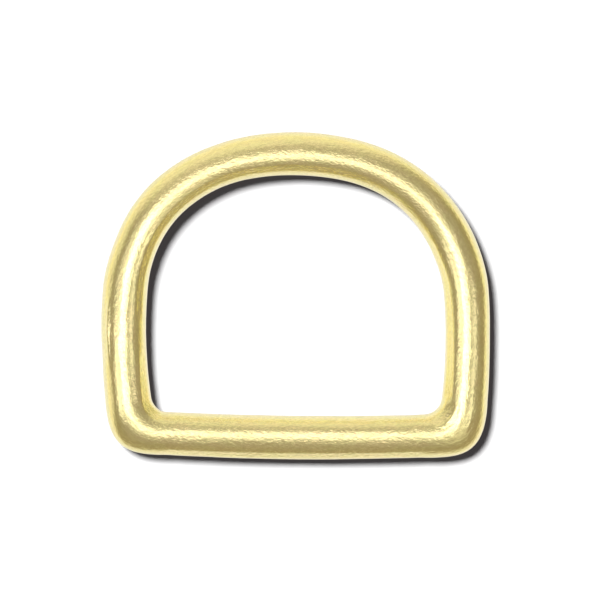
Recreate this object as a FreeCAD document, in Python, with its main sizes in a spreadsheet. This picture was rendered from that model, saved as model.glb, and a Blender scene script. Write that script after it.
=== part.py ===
import FreeCAD, Part
import math
import os
import Sketcher

# Cast D ring for 25 mm webbing, one solid of brass, lying flat.
# X runs along the straight strap bar, Y from the bar to the top of the arch, Z is up.
# The ring is the same left and right, so the right half is swept and mirrored.

# Driving dimensions in millimetres: alias, value, meaning
DIMENSIONS = (
    ("inner_width", 26.1, "clear width between the two sides, for 25 mm webbing"),
    ("inner_length", 20.9, "clear length from the bar to the top of the arch"),
    ("wire_half", 1.95, "half of the wire, from its centre line to the opening"),
    ("wire_height", 3.8, "thickness of the ring off the table"),
    ("widest_level", 9.0, "distance from the bar up to the widest place of the sides"),
    ("bar_radius", 298.0, "very slight outward bow of the strap bar"),
    ("corner_radius", 3.4, "bend from the bar into the side"),
    ("side_radius", 41.25, "bowed side"),
    ("shoulder_radius", 12.7, "bend from the side into the top of the arch"),
    ("crown_radius", 23.4, "flatter top of the arch"),
)

# Arcs of the centre line from the bar's middle to the crown's middle, with the turn of each
# in degrees that the sketch starts from: name, first guess of the turn
ARCS = (
    ("bar", 2.2),
    ("corner", 79.6),
    ("side", 13.9),
    ("shoulder", 72.8),
    ("crown", 11.5),
)

# Cross sections of the wire, in order along the centre line. The wire is round all the way
# and stands out on the outside of the corners, where the casting is thickened:
# name, arc that it is on, place along that arc, width of the wire in millimetres
STATIONS = (
    ("bar_middle", "bar", 0.0, 3.95),
    ("bar_end", "corner", 0.0, 3.88),
    ("corner_low", "corner", 0.27, 4.44),
    ("corner_middle", "corner", 0.5, 4.85),
    ("corner_high", "corner", 0.73, 4.62),
    ("side_low", "side", 0.0, 4.16),
    ("side_middle", "side", 0.5, 4.04),
    ("side_high", "shoulder", 0.0, 4.1),
    ("shoulder_low", "shoulder", 0.35, 4.04),
    ("shoulder_high", "shoulder", 0.7, 3.93),
    ("crown_end", "crown", 0.0, 3.86),
    ("crown_middle", "crown", 1.0, 3.9),
)

SHEET_NAME = "Sizes"
PART_NAME = "d_ring"

# Points of a sketch element and the sketch's own axes, as the sketcher counts them
START, END, CENTRE = 1, 2, 3
X_AXIS, Y_AXIS, ORIGIN = -1, -2, -1


def make_sheet(doc):
    """Keep every driving dimension in one sheet, under its own name."""
    sheet = doc.addObject("Spreadsheet::Sheet", SHEET_NAME)
    rows = list(DIMENSIONS)
    rows += [("width_" + name, width, "wire width at " + name) for name, arc, place, width in STATIONS]
    for number, (alias, value, meaning) in enumerate(rows, start=1):
        sheet.set("A%d" % number, alias)
        sheet.set("B%d" % number, str(value))
        sheet.set("C%d" % number, meaning)
        sheet.setAlias("B%d" % number, alias)
    doc.recompute()
    return sheet


def origin_plane(body, role):
    """One of the body's own origin planes."""
    return next(plane for plane in body.Origin.OriginFeatures if plane.Role == role)


def bind(sketch, constraint, formula):
    """Add a dimension to a sketch and tie it to the sheet."""
    index = sketch.addConstraint(constraint)
    sketch.setExpression("Constraints[%d]" % index, formula.replace("$", SHEET_NAME + "."))


def draw_centre_line(body, sheet):
    """Half of the D as five tangent arcs, from the middle of the bar to the crown."""
    sketch = body.newObject("Sketcher::SketchObject", "CentreLine")
    sketch.AttachmentSupport = [(origin_plane(body, "XY_Plane"), "")]
    sketch.MapMode = "FlatFace"

    # First guess: the arcs follow on from each other, turning anticlockwise
    point = FreeCAD.Vector(0, 0, 0)
    heading = -math.pi / 2
    for name, turn in ARCS:
        radius = sheet.get(name + "_radius")
        spoke = FreeCAD.Vector(math.cos(heading), math.sin(heading), 0)
        circle = Part.Circle(point - spoke * radius, FreeCAD.Vector(0, 0, 1), radius)
        heading_after = heading + math.radians(turn)
        sketch.addGeometry(Part.ArcOfCircle(circle, heading, heading_after), False)
        point = circle.value(heading_after)
        heading = heading_after

    bar, corner, side, shoulder, crown = range(len(ARCS))
    for arc in (bar, corner, side, shoulder):
        sketch.addConstraint(Sketcher.Constraint("Tangent", arc, END, arc + 1, START))
    for arc, end in ((bar, START), (crown, END)):
        sketch.addConstraint(Sketcher.Constraint("PointOnObject", arc, end, Y_AXIS))
        sketch.addConstraint(Sketcher.Constraint("PointOnObject", arc, CENTRE, Y_AXIS))
    sketch.addConstraint(Sketcher.Constraint("PointOnObject", bar, START, X_AXIS))

    for arc, (name, turn) in enumerate(ARCS):
        radius = sheet.get(name + "_radius")
        bind(sketch, Sketcher.Constraint("Radius", arc, radius), "$%s_radius" % name)
    crown_level = sheet.inner_length + 2 * sheet.wire_half
    bind(sketch, Sketcher.Constraint("DistanceY", ORIGIN, START, crown, END, crown_level),
         "$inner_length + 2 * $wire_half")
    side_centre = sheet.side_radius - sheet.inner_width / 2 - sheet.wire_half
    bind(sketch, Sketcher.Constraint("DistanceX", side, CENTRE, ORIGIN, START, side_centre),
         "$side_radius - $inner_width / 2 - $wire_half")
    bind(sketch, Sketcher.Constraint("DistanceY", ORIGIN, START, side, CENTRE, sheet.widest_level),
         "$widest_level")
    body.Document.recompute()
    return sketch


def draw_section(body, centre_line, sheet, name, arc, place, width):
    """Cross section square to the centre line: its X points out of the D, its Y is up."""
    sketch = body.newObject("Sketcher::SketchObject", "Section_" + name)
    edge = 1 + [arc_name for arc_name, turn in ARCS].index(arc)
    sketch.AttachmentSupport = [(centre_line, "Edge%d" % edge)]
    sketch.MapMode = "NormalToEdge"
    sketch.MapPathParameter = place

    centre = FreeCAD.Vector(width / 2 - sheet.wire_half, 0, 0)
    outer_end = FreeCAD.Vector(width - sheet.wire_half, 0, 0)
    upper_end = centre + FreeCAD.Vector(0, sheet.wire_height / 2, 0)
    outline = sketch.addGeometry(Part.Ellipse(outer_end, upper_end, centre), False)
    sketch.exposeInternalGeometry(outline)
    long_axis, short_axis = outline + 1, outline + 2
    sketch.addConstraint(Sketcher.Constraint("PointOnObject", outline, CENTRE, X_AXIS))
    sketch.addConstraint(Sketcher.Constraint("Horizontal", long_axis))
    width_cell = "$width_" + name
    bind(sketch, Sketcher.Constraint("Distance", long_axis, START, long_axis, END, width), width_cell)
    bind(sketch, Sketcher.Constraint("Distance", short_axis, START, short_axis, END, sheet.wire_height),
         "$wire_height")
    bind(sketch, Sketcher.Constraint("DistanceX", ORIGIN, START, outline, CENTRE, centre.x),
         width_cell + " / 2 - $wire_half")
    return sketch


def make_ring(doc, sheet):
    """Sweep the right half of the wire and mirror it, then lay the ring on its face."""
    body = doc.addObject("PartDesign::Body", PART_NAME)
    body.Label = PART_NAME
    centre_line = draw_centre_line(body, sheet)
    sections = [draw_section(body, centre_line, sheet, *station) for station in STATIONS]
    doc.recompute()

    # Each arc is swept from its own first section to the first section of the next arc
    arc_of_section = [arc for name, arc, place, width in STATIONS]
    sweeps = []
    for number, (arc, turn) in enumerate(ARCS, start=1):
        first = arc_of_section.index(arc)
        last = min(first + arc_of_section.count(arc), len(sections) - 1)
        sweep = body.newObject("PartDesign::AdditivePipe", "Sweep_" + arc)
        sweep.Profile = sections[first]
        sweep.Spine = (centre_line, ["Edge%d" % number])
        sweep.Transformation = "Multisection"
        sweep.Sections = [(section, "") for section in sections[first + 1:last + 1]]
        sweeps.append(sweep)
        doc.recompute()

    both_halves = body.newObject("PartDesign::Mirrored", "BothHalves")
    both_halves.Originals = sweeps
    both_halves.MirrorPlane = (origin_plane(body, "YZ_Plane"), [""])
    body.Tip = both_halves

    # The origin is under the middle of the ring's outline, on the surface that it lies on
    outline_middle = "(2 * $wire_half + $inner_length + $width_crown_middle - $width_bar_middle) / 2"
    body.setExpression("Placement.Base.y", "-" + outline_middle.replace("$", SHEET_NAME + "."))
    body.setExpression("Placement.Base.z", "Sizes.wire_height / 2")
    doc.recompute()
    return body


def check(doc, parts):
    """Stop unless everything was made and each sub-part is a sound solid."""
    for item in doc.Objects:
        if {"Invalid", "Error"} & set(item.State):
            raise RuntimeError(item.Name + " could not be made")
        if item.isDerivedFrom("Sketcher::SketchObject") and item.solve() != 0:
            raise RuntimeError(item.Name + " has no solution")
    for part in parts:
        if part.Shape.isNull() or not part.Shape.isValid() or len(part.Shape.Solids) != 1:
            raise RuntimeError(part.Label + " is not one sound solid")


def main():
    doc = FreeCAD.newDocument("DRing")
    sheet = make_sheet(doc)
    parts = [make_ring(doc, sheet)]
    check(doc, parts)
    os.makedirs("parts", exist_ok=True)
    for part in parts:
        part.Shape.exportStep(os.path.join("parts", part.Label + ".step"))
        box = part.Shape.BoundBox
        print("%s: %.2f x %.2f x %.2f mm, %.1f cubic mm" % (
            part.Label, box.XLength, box.YLength, box.ZLength, part.Shape.Volume))


main()
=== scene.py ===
import math

import bpy
import numpy as np
from mathutils import Matrix, Vector


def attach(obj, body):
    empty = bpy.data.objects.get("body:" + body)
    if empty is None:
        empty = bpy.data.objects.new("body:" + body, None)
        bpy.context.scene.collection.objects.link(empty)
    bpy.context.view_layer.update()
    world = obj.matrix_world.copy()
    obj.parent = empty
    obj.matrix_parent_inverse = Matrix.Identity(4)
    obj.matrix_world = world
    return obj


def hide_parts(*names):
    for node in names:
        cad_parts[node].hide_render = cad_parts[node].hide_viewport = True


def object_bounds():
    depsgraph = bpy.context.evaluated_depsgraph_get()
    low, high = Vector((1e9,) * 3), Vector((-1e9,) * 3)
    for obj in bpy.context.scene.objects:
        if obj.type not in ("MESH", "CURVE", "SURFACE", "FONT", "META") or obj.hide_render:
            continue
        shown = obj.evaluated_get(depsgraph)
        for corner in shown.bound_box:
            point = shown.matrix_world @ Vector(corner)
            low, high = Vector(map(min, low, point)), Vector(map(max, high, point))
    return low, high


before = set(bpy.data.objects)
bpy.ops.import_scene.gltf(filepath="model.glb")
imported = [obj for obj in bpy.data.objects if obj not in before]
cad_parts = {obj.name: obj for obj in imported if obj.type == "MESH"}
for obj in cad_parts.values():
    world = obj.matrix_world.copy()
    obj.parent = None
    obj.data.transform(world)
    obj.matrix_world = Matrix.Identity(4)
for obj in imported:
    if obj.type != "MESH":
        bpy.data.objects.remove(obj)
cad_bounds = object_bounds()

# Cast brass D ring lying flat on paper. One swept loop stands for the CAD solid d_ring. The world
# is what the brass mirrors, two suns light the paper, and the camera looks straight down.
# Lengths are in millimetres and become metres in the last step. Angles are in degrees.
MM = 0.001
SEED = 41

# The D, with the sizes that the CAD has: clear width and length, half of the wire, level of the
# widest place, and the radii of the arcs that the wire's centre line follows from bar to crown
INNER_WIDTH = 26.1
INNER_LENGTH = 20.9
WIRE_HALF = 1.95
WIDEST_LEVEL = 9.0
BAR_RADIUS = 298.0
CORNER_RADIUS = 3.4
SIDE_RADIUS = 41.25
SHOULDER_RADIUS = 12.7
CROWN_RADIUS = 23.4

# The frame gives the thickness off the paper, and where the bar's centre line lies: the bar's
# outer edge touches the CAD box
cad_low, cad_high = cad_bounds
WIRE_HEIGHT = (cad_high[2] - cad_low[2]) / MM
BAR_OUTER_EDGE = 2.0
BAR_LEVEL = cad_low[1] / MM + BAR_OUTER_EDGE

# Distances of the wire's edges from the centre line, seen from above, and how far outside that
# line its top is: arc, place along that arc, right inner, outer, top, left inner, outer, top.
# A measuring script read these off the photograph. They were rounded, and some changed.
EDGES = (
    ("bar", 0.0, 1.84, 1.99, -0.17, 1.84, 1.99, -0.17),
    ("bar", 0.9, 1.83, 1.92, -0.11, 1.86, 1.93, -0.05),
    ("corner", 0.0, 1.87, 1.90, -0.12, 1.86, 1.89, -0.07),
    ("corner", 0.12, 1.86, 2.00, -0.04, 1.85, 1.97, 0.02),
    ("corner", 0.25, 1.82, 2.22, 0.08, 1.87, 2.20, 0.12),
    ("corner", 0.38, 1.82, 2.61, 0.22, 1.92, 2.50, 0.20),
    ("corner", 0.5, 1.80, 2.87, 0.30, 1.96, 2.64, 0.26),
    ("corner", 0.62, 1.78, 2.86, 0.30, 1.98, 2.54, 0.25),
    ("corner", 0.88, 1.76, 2.41, 0.14, 2.01, 2.07, 0.14),
    ("side", 0.0, 1.73, 2.29, 0.09, 2.02, 2.00, 0.13),
    ("side", 0.4, 1.84, 2.07, -0.01, 1.96, 1.92, 0.15),
    ("side", 0.6, 1.86, 2.03, -0.02, 1.92, 2.02, 0.13),
    ("shoulder", 0.0, 1.87, 2.08, -0.04, 1.84, 2.07, 0.03),
    ("shoulder", 0.2, 2.02, 1.95, -0.11, 1.81, 1.95, -0.01),
    ("shoulder", 0.35, 2.03, 1.90, -0.12, 1.76, 2.01, -0.02),
    ("shoulder", 0.5, 1.98, 1.86, -0.15, 1.76, 2.00, -0.05),
    ("shoulder", 0.7, 1.95, 1.82, -0.25, 1.83, 1.88, -0.13),
    ("shoulder", 0.9, 1.96, 1.79, -0.26, 1.87, 1.79, -0.23),
    ("crown", 0.3, 1.92, 1.83, -0.21, 1.86, 1.86, -0.25),
    ("crown", 1.0, 1.90, 1.89, -0.20, 1.90, 1.89, -0.20),
)
# How far the turns between those rows are rounded along the wire
EDGE_ROUNDING = 0.4

# Mesh of the loop: stations along the wire, columns round it, and how much closer together the
# columns are on top than underneath (0 is even)
STATIONS = 860
AROUND = 112
CLOSER_ON_TOP = 0.36

# Half width up to which a section is a plain ellipse, and how fast the exponent of its outline
# falls below 2 past that, per mm, so that a thickened corner runs out flatter
ROUND_HALF_WIDTH = 2.0
LEANER = 0.58

# Rounded length of the wire, and the way round it, for the scale of the surface patterns
WIRE_LENGTH = 93.0
WIRE_GIRTH = math.pi * (WIRE_HALF + WIRE_HEIGHT / 2)
UV_NAME = "around_along"

# Places along the wire, in the tables below, start at the middle of the bar and run up the right
# side. Angles round the wire start at the top, and the outside of the D is +.

# Flats pressed into the round of the wire: from and to along the wire, then the angle where each
# starts at its two ends, and the angle where it stops at its two ends
FLATS = (
    (-11.6, 11.6, 49.0, 71.0, 49.0, 71.0),
    (12.2, 16.2, -2.0, -18.0, -2.0, -18.0),
    (12.2, 16.2, -18.0, -48.0, -18.0, -48.0),
    (15.8, 31.5, -31.0, -66.0, -50.0, -68.0),
    (40.0, 56.0, -29.0, -50.0, -29.0, -52.0),
    (55.2, 71.0, -29.0, -52.0, -33.0, -55.0),
    (73.5, 82.2, -47.0, -68.0, -31.0, -66.0),
)
# Length over which a flat dies out at each end
FLAT_FADE = 0.8

# Single marks: place along the wire, angle round it, half length along it and half width round
# it, height (a hollow is negative)
MARKS = (
    (70.1, 43.0, 1.0, 0.17, 0.072),
    (71.8, 43.0, 0.9, 0.19, 0.110),
    (73.6, 43.0, 1.0, 0.17, 0.068),
    (14.35, -26.0, 0.42, 0.36, 0.110),
    (14.35, -26.0, 0.27, 0.21, -0.150),
    (14.7, 28.0, 0.42, 0.18, 0.045),
    (13.4, -15.0, 0.22, 0.16, 0.020),
    (13.4, 22.0, 0.12, 0.10, 0.022),
    (2.7, -39.5, 0.45, 0.07, 0.012),
    (45.7, -18.0, 0.35, 0.09, 0.014),
    (87.3, 24.0, 0.28, 0.08, 0.014),
    (43.3, 11.0, 0.10, 0.09, 0.016),
    (41.4, 17.0, 0.12, 0.09, 0.014),
    (49.8, 34.0, 0.50, 0.07, 0.010),
    (50.6, 28.0, 0.60, 0.07, 0.010),
)

# Groups of small marks, about half of them hollows: from and to along the wire, from and to
# round it, how many, half length and half width of each, height
GROUPS = (
    (6.5, 11.5, -20.0, 12.0, 34, 0.10, 0.10, 0.010),
    (48.5, 56.0, 8.0, 16.0, 26, 0.32, 0.08, 0.007),
    (52.0, 62.0, 2.0, 34.0, 44, 0.30, 0.07, 0.004),
    (17.0, 27.0, 12.0, 26.0, 36, 0.25, 0.08, 0.004),
    (27.0, 33.0, 18.0, 30.0, 16, 0.09, 0.10, 0.007),
    (78.5, 83.0, -14.0, 22.0, 30, 0.16, 0.08, 0.005),
    (88.0, 93.0, 14.0, 22.0, 18, 0.16, 0.08, 0.006),
    (12.0, 17.0, 14.0, 34.0, 10, 0.14, 0.10, 0.004),
)
# Smallest and largest mark of a group, as a share of the size given
GROUP_SIZES = (0.6, 1.4)

# Relief of the casting: length of a patch along the wire, width round it, typical slope
RELIEF = (
    (4.0, 1.6, 0.5),
    (1.6, 0.8, 0.2),
    (0.6, 0.4, 0.25),
    (0.3, 0.2, 0.5),
)

# Brass: two tints that patches of it have, and that of the specks with their strength, and the
# noise between which patches, and between which specks and streaks, come in
BRASS_WARM = (0.98, 0.87, 0.455, 1)
BRASS_COOL = (0.95, 0.88, 0.44, 1)
BRASS_SPECK = (0.62, 0.50, 0.26, 1)
SPECK_STRENGTH = 0.21
PATCH_RANGE = (0.35, 0.65)
NOISE_RANGE = (0.3, 0.7)
# Roughness of the smoothest and roughest streaks, and the share left on the worn sides
ROUGHNESS = (0.19, 0.26)
ROUGHNESS_WORN = 0.62
# Depth of the grain, and its share on the bar and crown and on the worn sides
GRAIN_DEPTH = 0.040
GRAIN_SHARE = 1.2
GRAIN_SHARE_WORN = 0.55
# Where the worn sides end: a cosine that is 1 at the middle of the bar and of the crown, and -1
# halfway between them
WORN_TO_PLAIN = (-0.7, 0.1)

# The first two walls, the floor's edge and the first four soft boxes started from a fit to the
# brightness of the brass in the photograph. They were rounded, and most changed. The other wall
# and soft boxes were added one by one.

# Surroundings: the dim room, from overhead down to the horizon, and the zenith angles between
# which it changes
ROOM_HIGH = (0.425, 0.38, 0.325, 1)
ROOM_LOW = (0.375, 0.324, 0.217, 1)
ROOM_CHANGE = (45, 85)
# Pale wall behind, one low on the left whose top shows above the floor, and a small patch at the
# front right: azimuth, zenith angle, radius at full strength, fading edge, strength
PALE = (1.08, 1.03, 0.87, 1)
WALLS = (
    (105, 92, 29, 32, 0.80),
    (152, 133, 55, 16, 0.72),
    (315, 42, 8, 20, 0.52),
)
# Pale floor: zenith angle and blur of its edge, how much the edge rises towards one azimuth, and
# the angle over which it changes from the edge's colour to the one underneath
FLOOR_EDGE = 99
FLOOR_BLUR = 7
FLOOR_RISE = 7
FLOOR_RISE_AZIMUTH = 90
FLOOR_CHANGE = 24
FLOOR_AT_EDGE = (1.10, 1.02, 0.70, 1)
FLOOR_BELOW = (1.01, 1.00, 1.03, 1)
# Soft boxes overhead, level rectangles: place in x and y, half size in x and y, width of the soft
# edge, all in units of the box's height, then the strength
SOFT_BOXES = (
    (-0.26, 0.15, 0.69, 0.28, 0.28, 0.44),
    (-0.82, -0.19, 0.34, 0.20, 0.16, 0.78),
    (0.89, -0.20, 0.27, 0.33, 0.18, 0.68),
    (-0.02, -0.17, 0.34, 0.30, 0.12, 0.50),
    (-0.18, 0.10, 0.17, 0.15, 0.10, 0.95),
    (-0.02, -0.05, 0.28, 0.09, 0.06, 0.55),
    (0.17, -0.17, 0.15, 0.15, 0.14, 0.80),
)

# Suns: name, azimuth, elevation, strength, width of the disc, colour
SUNS = (
    ("key", 137, 66.4, 4.4, 16, (1, 1, 1)),
    ("fill", 0, 90, 0.17, 120, (1, 0.90, 0.90)),
)

# Paper: half the side of the sheet, in metres, and its colour
PAPER_REACH = 6.0
PAPER = (0.9, 0.9, 0.9, 1)

# Camera: side of the square picture in pixels, mm to a pixel, where the ring's middle is in the
# picture, turn of the picture, height of the camera above the paper in metres, sensor in mm
PICTURE = 600
PIXEL = 0.08757
RING_MIDDLE_PX = (295.72, 295.35)
PICTURE_TURN = 0.57
CAMERA_HEIGHT = 1.0
SENSOR_WIDTH = 36


def meeting_point(centre_a, radius_a, centre_b, radius_b, left_of_line):
    """Where two circles cross, on the chosen side of the line from a to b."""
    gap = np.linalg.norm(centre_b - centre_a)
    along = (radius_a ** 2 - radius_b ** 2 + gap ** 2) / (2 * gap)
    aside = math.sqrt(radius_a ** 2 - along ** 2)
    ahead = (centre_b - centre_a) / gap
    left = np.array([-ahead[1], ahead[0]])
    return centre_a + ahead * along + left * (aside if left_of_line else -aside)


def centre_line_arcs():
    """The tangent arcs of the right half: name, centre, radius, first and last angle in radians."""
    half_width = INNER_WIDTH / 2 + WIRE_HALF
    bar = np.array([0.0, BAR_RADIUS])
    side = np.array([half_width - SIDE_RADIUS, WIDEST_LEVEL])
    crown = np.array([0.0, INNER_LENGTH + 2 * WIRE_HALF - CROWN_RADIUS])
    corner = meeting_point(bar, BAR_RADIUS - CORNER_RADIUS, side, SIDE_RADIUS - CORNER_RADIUS, True)
    shoulder = meeting_point(crown, CROWN_RADIUS - SHOULDER_RADIUS,
                             side, SIDE_RADIUS - SHOULDER_RADIUS, False)
    circles = (("bar", bar, BAR_RADIUS), ("corner", corner, CORNER_RADIUS), ("side", side, SIDE_RADIUS),
               ("shoulder", shoulder, SHOULDER_RADIUS), ("crown", crown, CROWN_RADIUS))

    # Two tangent circles touch on the line through their centres, beyond the smaller one's
    joints = [-math.pi / 2]
    for (_, centre_a, radius_a), (_, centre_b, radius_b) in zip(circles, circles[1:]):
        smaller, larger = (centre_a, centre_b) if radius_a < radius_b else (centre_b, centre_a)
        outward = smaller - larger
        joints.append(math.atan2(outward[1], outward[0]))
    joints.append(math.pi / 2)
    return [circle + ends for circle, ends in zip(circles, zip(joints, joints[1:]))]


def swept_loop():
    """What the loop follows: place of each station, whole length, centre line, outward normal, and
    the inner edge, outer edge and top, measured outwards from the centre line."""
    arcs = centre_line_arcs()
    lengths = [radius * (last - first) for _, _, radius, first, last in arcs]
    starts = np.concatenate([[0], np.cumsum(lengths)])
    half_length = starts[-1]
    whole = 2 * half_length

    # The right half's arcs are followed up the right side, and back down mirrored on the left
    place = np.arange(STATIONS) * whole / STATIONS
    on_right = place <= half_length
    folded = np.where(on_right, place, whole - place)
    arc = np.minimum(np.searchsorted(starts, folded, side="right") - 1, len(arcs) - 1)
    centre, radius, first = (np.array([row[column] for row in arcs])[arc] for column in (1, 2, 3))
    angle = first + (folded - starts[arc]) / radius
    normal = np.stack([np.cos(angle), np.sin(angle)], axis=1)
    line = centre + radius[:, None] * normal
    mirror = np.stack([np.where(on_right, 1, -1), np.ones(STATIONS)], axis=1)

    spans = {name: (start, length) for (name, *_), start, length in zip(arcs, starts, lengths)}
    keys = np.array([spans[name][0] + spans[name][1] * share for name, share, *_ in EDGES])
    key_loop = np.concatenate([keys, whole - keys[-2:0:-1]])
    right_side, left_side = np.hsplit(np.array([row[2:] for row in EDGES]), 2)
    inner, outer, top = (
        read_closed_table(place, key_loop, column, whole)
        for column in np.concatenate([right_side, left_side[-2:0:-1]]).T)
    return place, whole, line * mirror, normal * mirror, -inner, outer, top


def read_closed_table(place, keys, values, whole):
    """Values between the rows of a table that closes on itself, with the turns at its rows rounded."""
    straight = np.interp(place, np.append(keys, whole), np.append(values, values[0]))
    frequency = np.fft.rfftfreq(len(place), whole / len(place))
    rounding = np.exp(-2 * (math.pi * frequency * EDGE_ROUNDING) ** 2)
    return np.fft.irfft(np.fft.rfft(straight) * rounding, len(place))


def waves(rng, along, around, slope, whole):
    """Smooth random relief that closes on itself, from the size of its patches and its slope."""
    noise = rng.standard_normal((STATIONS, AROUND))
    frequency_along = np.fft.fftfreq(STATIONS, whole / STATIONS)[:, None]
    frequency_around = np.fft.fftfreq(AROUND, WIRE_GIRTH / AROUND)[None, :]
    smoothing = np.exp(-(frequency_along * along) ** 2 - (frequency_around * around) ** 2)
    field = np.real(np.fft.ifft2(np.fft.fft2(noise) * smoothing))
    field -= field.mean()
    steepness = np.gradient(field, WIRE_GIRTH / AROUND, axis=1).std()
    return field * math.tan(math.radians(slope)) / steepness


def around_the_loop(gap, whole):
    """Distance along a closed line, the short way round."""
    return (gap + whole / 2) % whole - whole / 2


def flats(place, turn, whole):
    """Hollow that turns the arc between two angles round the wire into a straight chord."""
    total = np.zeros((len(place), len(turn)))
    for start, end, first_start, last_start, first_end, last_end in FLATS:
        along = around_the_loop(place - (start + end) / 2, whole)
        strength = np.clip(((end - start) / 2 - np.abs(along)) / FLAT_FADE, 0, 1)
        share = np.clip(along / (end - start) + 0.5, 0, 1)
        first = np.radians(first_start + (first_end - first_start) * share)[:, None]
        last = np.radians(last_start + (last_end - last_start) * share)[:, None]
        reach = np.abs(last - first) / 2
        off = np.minimum(np.abs(turn[None, :] - (first + last) / 2), reach)
        total += strength[:, None] * WIRE_HALF * (np.cos(reach) / np.cos(off) - 1)
    return total


def marks(rng, place, turn, whole):
    """Raised and sunk marks, the single ones and the ones scattered in groups."""
    rows = list(MARKS)
    for start, end, low, high, count, half_length, half_width, height in GROUPS:
        for _ in range(count):
            size = rng.uniform(*GROUP_SIZES)
            rows.append((rng.uniform(start, end), rng.uniform(low, high), half_length * size,
                         half_width, height * rng.choice((-1, 1)) * size))
    total = np.zeros((len(place), len(turn)))
    for middle, angle, half_length, half_width, height in rows:
        along = around_the_loop(place - middle, whole) / half_length
        across = (turn - math.radians(angle)) * WIRE_HALF / half_width
        total += height * np.exp(-along ** 2)[:, None] * np.exp(-across ** 2)[None, :]
    return total


def column_turns():
    """Turn of each column round the wire in radians. The first column is underneath, where the
    seam of the texture is out of sight."""
    even = np.arange(AROUND) * 2 * math.pi / AROUND - math.pi
    return even - CLOSER_ON_TOP * np.sin(even)


def ring_points(turn):
    """Points of the loop in metres, by station and column."""
    place, whole, line, normal, inner, outer, top = swept_loop()
    sine, cosine = np.sin(turn)[None, :], np.cos(turn)[None, :]
    inner, outer, top = inner[:, None], outer[:, None], top[:, None]
    half_width = np.where(sine > 0, outer - top, top - inner)
    power = 2 / (2 - LEANER * np.clip(half_width - ROUND_HALF_WIDTH, 0, 1))
    across = top + half_width * np.sign(sine) * np.abs(sine) ** power
    height = WIRE_HEIGHT / 2 * (1 + np.sign(cosine) * np.abs(cosine) ** power)

    rng = np.random.default_rng(SEED)
    relief = sum(waves(rng, *row, whole) for row in RELIEF)
    relief = relief + flats(place, turn, whole) + marks(rng, place, turn, whole)
    across = across + relief * sine
    height = height + relief * cosine

    points = np.empty((STATIONS, AROUND, 3))
    points[..., :2] = line[:, None, :] + normal[:, None, :] * across[..., None]
    points[..., 1] += BAR_LEVEL
    points[..., 2] = height - height.min()
    return points * MM


def loop_faces():
    """Quads between neighbouring stations and columns. Both ways round close on themselves."""
    index = np.arange(STATIONS * AROUND).reshape(STATIONS, AROUND)
    ahead = np.roll(index, -1, axis=0)
    quads = np.stack([index, np.roll(index, -1, axis=1), np.roll(ahead, -1, axis=1), ahead], axis=-1)
    return quads.reshape(-1, 4)


def texture_places(turn):
    """Where each quad's corners are on the texture: share of the way round, share of the length."""
    around = (np.append(turn, math.pi) + math.pi) / (2 * math.pi)
    along = np.arange(STATIONS + 1) / STATIONS
    grid = np.stack(np.meshgrid(around, along), axis=-1)
    return np.stack([grid[:-1, :-1], grid[:-1, 1:], grid[1:, 1:], grid[1:, :-1]], axis=2)


def make_ring():
    """The whole ring as one closed loop of quads."""
    turn = column_turns()
    faces = loop_faces()
    mesh = bpy.data.meshes.new("cast_ring")
    mesh.from_pydata(ring_points(turn).reshape(-1, 3).tolist(), [], faces.tolist())
    mesh.polygons.foreach_set("use_smooth", np.ones(len(faces), bool))
    mesh.uv_layers.new(name=UV_NAME).data.foreach_set("uv", texture_places(turn).reshape(-1))
    mesh.update()
    mesh.materials.append(satin_brass())
    ring = bpy.data.objects.new("cast_ring", mesh)
    bpy.context.scene.collection.objects.link(ring)
    # The paper gets no brass-coloured light from the ring
    ring.visible_diffuse = False
    return ring


class Nodes:
    """Short ways to add the nodes that the brass and the world share."""

    def __init__(self, tree):
        self.tree = tree

    def put(self, socket, value):
        """Link a socket to another node's output, or set it to a number, colour or vector."""
        if isinstance(value, bpy.types.NodeSocket):
            self.tree.links.new(value, socket)
        else:
            socket.default_value = value

    def math(self, operation, *values):
        node = self.tree.nodes.new("ShaderNodeMath")
        node.operation = operation
        for socket, value in zip(node.inputs, values):
            self.put(socket, value)
        return node.outputs[0]

    def vector_math(self, operation, a, b, output):
        node = self.tree.nodes.new("ShaderNodeVectorMath")
        node.operation = operation
        self.put(node.inputs[0], a)
        self.put(node.inputs[1], b)
        return node.outputs[output]

    def fade(self, value, low, high, start=0.0, end=1.0):
        """Smooth step from start to end as the value goes from low to high."""
        node = self.tree.nodes.new("ShaderNodeMapRange")
        node.interpolation_type = "SMOOTHSTEP"
        for name, setting in (("Value", value), ("From Min", low), ("From Max", high),
                              ("To Min", start), ("To Max", end)):
            self.put(node.inputs[name], setting)
        return node.outputs["Result"]

    def mix(self, factor, a, b):
        """Colour a where the factor is 0, and colour b where it is 1."""
        node = self.tree.nodes.new("ShaderNodeMix")
        node.data_type = "RGBA"
        for name, setting in (("Factor", factor), ("A", a), ("B", b)):
            self.put(next(s for s in node.inputs if s.name == name and s.enabled), setting)
        return next(s for s in node.outputs if s.enabled)


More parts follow.
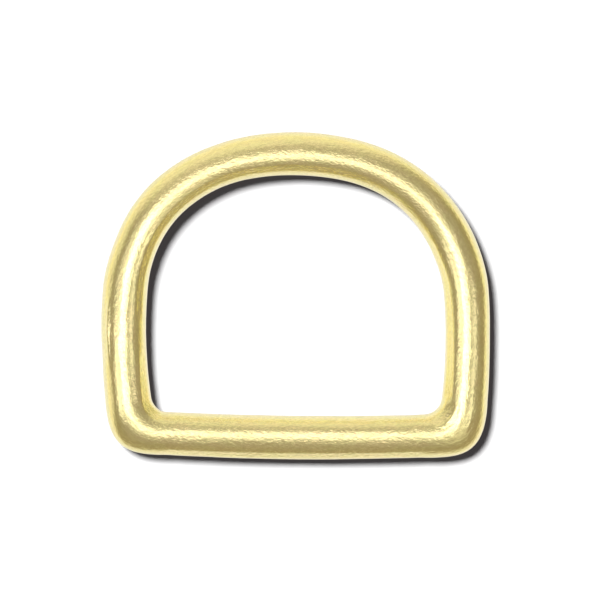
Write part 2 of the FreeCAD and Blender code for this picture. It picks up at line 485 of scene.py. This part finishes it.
class BrassNodes(Nodes):
    """Patterns that follow the wire, by the ring's own texture coordinates."""

    def __init__(self, tree):
        super().__init__(tree)
        uv = tree.nodes.new("ShaderNodeUVMap")
        uv.uv_map = UV_NAME
        split = tree.nodes.new("ShaderNodeSeparateXYZ")
        self.put(split.inputs[0], uv.outputs["UV"])
        self.around, self.along = split.outputs[0], split.outputs[1]

    def noise(self, along, around, detail, roughness=0.5):
        """Noise with patches of this length along the wire and this width round it.

        Both ways round become circles in four dimensions, so the noise has no seam.
        """
        noise = self.tree.nodes.new("ShaderNodeTexNoise")
        noise.noise_dimensions = "4D"
        self.put(noise.inputs["Scale"], 1.0)
        self.put(noise.inputs["Detail"], detail)
        self.put(noise.inputs["Roughness"], roughness)
        join = self.tree.nodes.new("ShaderNodeCombineXYZ")
        for share, length, size, first, second in (
                (self.along, WIRE_LENGTH, along, join.inputs[0], join.inputs[1]),
                (self.around, WIRE_GIRTH, around, join.inputs[2], noise.inputs["W"])):
            angle = self.math("MULTIPLY", share, 2 * math.pi)
            radius = length / (2 * math.pi * size)
            self.put(first, self.math("MULTIPLY", self.math("COSINE", angle), radius))
            self.put(second, self.math("MULTIPLY", self.math("SINE", angle), radius))
        self.put(noise.inputs["Vector"], join.outputs[0])
        return noise.outputs["Fac"]

    def worn(self, elsewhere, on_sides):
        """A number that differs between the two sides of the D, which are worn smooth, and the
        bar and crown."""
        twice_round = self.math("COSINE", self.math("MULTIPLY", self.along, 4 * math.pi))
        sides = self.fade(twice_round, *WORN_TO_PLAIN, 1.0, 0.0)
        return self.fade(sides, 0.0, 1.0, elsewhere, on_sides)


def satin_brass():
    """Cast brass with a satin gloss: patches of two tints, specks, streaks and a fine grain."""
    material = bpy.data.materials.new("satin_brass")
    material.use_nodes = True
    tree = material.node_tree
    nodes = BrassNodes(tree)
    shader = tree.nodes["Principled BSDF"]
    nodes.put(shader.inputs["Metallic"], 1.0)
    nodes.put(shader.inputs["Anisotropic"], 0.6)

    patches = nodes.fade(nodes.noise(along=1.6, around=0.7, detail=2.0), *PATCH_RANGE)
    specks = nodes.noise(along=0.3, around=0.2, detail=1.0)
    specks = nodes.fade(specks, *NOISE_RANGE, 0.0, SPECK_STRENGTH)
    tint = nodes.mix(patches, BRASS_WARM, BRASS_COOL)
    nodes.put(shader.inputs["Base Color"], nodes.mix(specks, tint, BRASS_SPECK))

    streaks = nodes.noise(along=1.6, around=0.25, detail=3.0)
    streaks = nodes.fade(streaks, *NOISE_RANGE, *ROUGHNESS)
    roughness = nodes.math("MULTIPLY", streaks, nodes.worn(1.0, ROUGHNESS_WORN))
    nodes.put(shader.inputs["Roughness"], roughness)

    grain = nodes.noise(along=0.34, around=0.19, detail=2.5, roughness=0.6)
    grain = nodes.math("MULTIPLY", grain, nodes.worn(GRAIN_SHARE, GRAIN_SHARE_WORN))
    bump = tree.nodes.new("ShaderNodeBump")
    nodes.put(bump.inputs["Height"], grain)
    nodes.put(bump.inputs["Strength"], 1.0)
    nodes.put(bump.inputs["Distance"], GRAIN_DEPTH * MM)
    nodes.put(shader.inputs["Normal"], bump.outputs["Normal"])

    tangent = tree.nodes.new("ShaderNodeTangent")
    tangent.direction_type = "UV_MAP"
    tangent.uv_map = UV_NAME
    nodes.put(shader.inputs["Tangent"], tangent.outputs["Tangent"])
    return material


def direction(azimuth, zenith):
    """Unit vector to a place in the sky, from its angle from +X and from straight up."""
    a, z = math.radians(azimuth), math.radians(zenith)
    return Vector((math.sin(z) * math.cos(a), math.sin(z) * math.sin(a), math.cos(z)))


class SkyNodes(Nodes):
    """Shapes in the surroundings, by the direction of the ray that reaches them."""

    def __init__(self, tree):
        super().__init__(tree)
        self.ray = tree.nodes.new("ShaderNodeTexCoord").outputs["Generated"]

    def along(self, vector):
        return self.vector_math("DOT_PRODUCT", self.ray, vector, "Value")

    def angle_from(self, azimuth, zenith):
        """Angle between the ray and a place in the sky."""
        angle = self.math("ARCCOSINE", self.math("MINIMUM", self.along(direction(azimuth, zenith)), 1.0))
        return self.math("MULTIPLY", angle, 180 / math.pi)

    def patch(self, azimuth, zenith, radius, edge):
        """A round patch that fades out past its radius."""
        return self.fade(self.angle_from(azimuth, zenith), radius, radius + edge, 1.0, 0.0)

    def soft_box(self, x, y, half_x, half_y, edge):
        """A level rectangle overhead, placed and sized in units of its own height."""
        # The height stays above 0, so that rays from below the horizon miss the box
        height = self.math("MAXIMUM", self.along((0, 0, 1)), 0.01)
        bands = []
        for axis, centre, half in (((1, 0, 0), x, half_x), ((0, 1, 0), y, half_y)):
            place = self.math("DIVIDE", self.along(axis), height)
            offset = self.math("ABSOLUTE", self.math("SUBTRACT", place, centre))
            bands.append(self.fade(offset, half - edge / 2, half + edge / 2, 1.0, 0.0))
        return self.math("MULTIPLY", *bands)


def make_world():
    """What the brass mirrors: a dim room with pale walls, a pale floor and soft boxes overhead."""
    world = bpy.data.worlds.new("studio")
    world.use_nodes = True
    bpy.context.scene.world = world
    tree = world.node_tree
    tree.nodes.clear()
    nodes = SkyNodes(tree)
    zenith = nodes.angle_from(0, 0)

    room = nodes.mix(nodes.fade(zenith, *ROOM_CHANGE), ROOM_HIGH, ROOM_LOW)
    walls = 0.0
    for *shape, strength in WALLS:
        walls = nodes.math("MAXIMUM", walls, nodes.math("MULTIPLY", nodes.patch(*shape), strength))
    room = nodes.mix(walls, room, PALE)

    boxes = 0.0
    for *shape, strength in SOFT_BOXES:
        boxes = nodes.math("ADD", boxes, nodes.math("MULTIPLY", nodes.soft_box(*shape), strength))
    lit_room = nodes.vector_math("ADD", room, boxes, "Vector")

    rise = nodes.math("MULTIPLY", nodes.along(direction(FLOOR_RISE_AZIMUTH, 90)), FLOOR_RISE)
    below = nodes.fade(nodes.math("ADD", zenith, rise), FLOOR_EDGE - FLOOR_BLUR, FLOOR_EDGE + FLOOR_BLUR)
    floor = nodes.mix(nodes.fade(zenith, FLOOR_EDGE, FLOOR_EDGE + FLOOR_CHANGE), FLOOR_AT_EDGE, FLOOR_BELOW)

    background = tree.nodes.new("ShaderNodeBackground")
    nodes.put(background.inputs["Color"], nodes.mix(below, lit_room, floor))
    output = tree.nodes.new("ShaderNodeOutputWorld")
    nodes.put(output.inputs["Surface"], background.outputs[0])
    # The paper is lit by the suns alone
    world.cycles_visibility.diffuse = False


def make_sun(name, azimuth, elevation, strength, disc, colour):
    """A lamp that lights the paper. The brass doesn't mirror it, as the world has the soft boxes."""
    data = bpy.data.lights.new(name, "SUN")
    data.energy = strength
    data.color = colour
    data.angle = math.radians(disc)
    lamp = bpy.data.objects.new(name, data)
    lamp.rotation_mode = "QUATERNION"
    lamp.rotation_quaternion = direction(azimuth, 90 - elevation).to_track_quat("Z", "Y")
    lamp.visible_glossy = False
    bpy.context.scene.collection.objects.link(lamp)


def pale_paper():
    """Matt white paper."""
    material = bpy.data.materials.new("pale_paper")
    material.use_nodes = True
    shader = material.node_tree.nodes["Principled BSDF"]
    shader.inputs["Base Color"].default_value = PAPER
    shader.inputs["Roughness"].default_value = 1.0
    shader.inputs["Specular IOR Level"].default_value = 0.0
    return material


def make_floor():
    """The paper under the ring. The brass mirrors the world's floor in its place."""
    corners = [(PAPER_REACH * x, PAPER_REACH * y, 0) for x, y in ((-1, -1), (1, -1), (1, 1), (-1, 1))]
    mesh = bpy.data.meshes.new("floor")
    mesh.from_pydata(corners, [], [(0, 1, 2, 3)])
    mesh.materials.append(pale_paper())
    floor = bpy.data.objects.new("floor", mesh)
    bpy.context.scene.collection.objects.link(floor)
    floor.visible_glossy = False


def make_camera():
    """Straight down, turned half a degree, with the ring a little up and left of the middle."""
    pixel = PIXEL * MM
    right = (PICTURE / 2 - RING_MIDDLE_PX[0]) * pixel
    down = (PICTURE / 2 - RING_MIDDLE_PX[1]) * pixel
    turned = Matrix.Rotation(math.radians(PICTURE_TURN), 4, "Z")
    data = bpy.data.cameras.new("camera")
    data.sensor_width = SENSOR_WIDTH
    data.lens = SENSOR_WIDTH * (CAMERA_HEIGHT - WIRE_HEIGHT / 2 * MM) / (PICTURE * pixel)
    camera = bpy.data.objects.new("camera", data)
    camera.matrix_world = turned @ Matrix.Translation((right, -down, CAMERA_HEIGHT))
    bpy.context.scene.collection.objects.link(camera)
    bpy.context.scene.camera = camera


def set_colours():
    """Colours are shown as they are worked out, with no film look."""
    settings = bpy.context.scene.view_settings
    settings.view_transform = "Standard"
    settings.look = "None"


make_camera()
ring = make_ring()
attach(ring, "root")
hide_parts("d_ring")
make_floor()
make_world()
for row in SUNS:
    make_sun(*row)
set_colours()
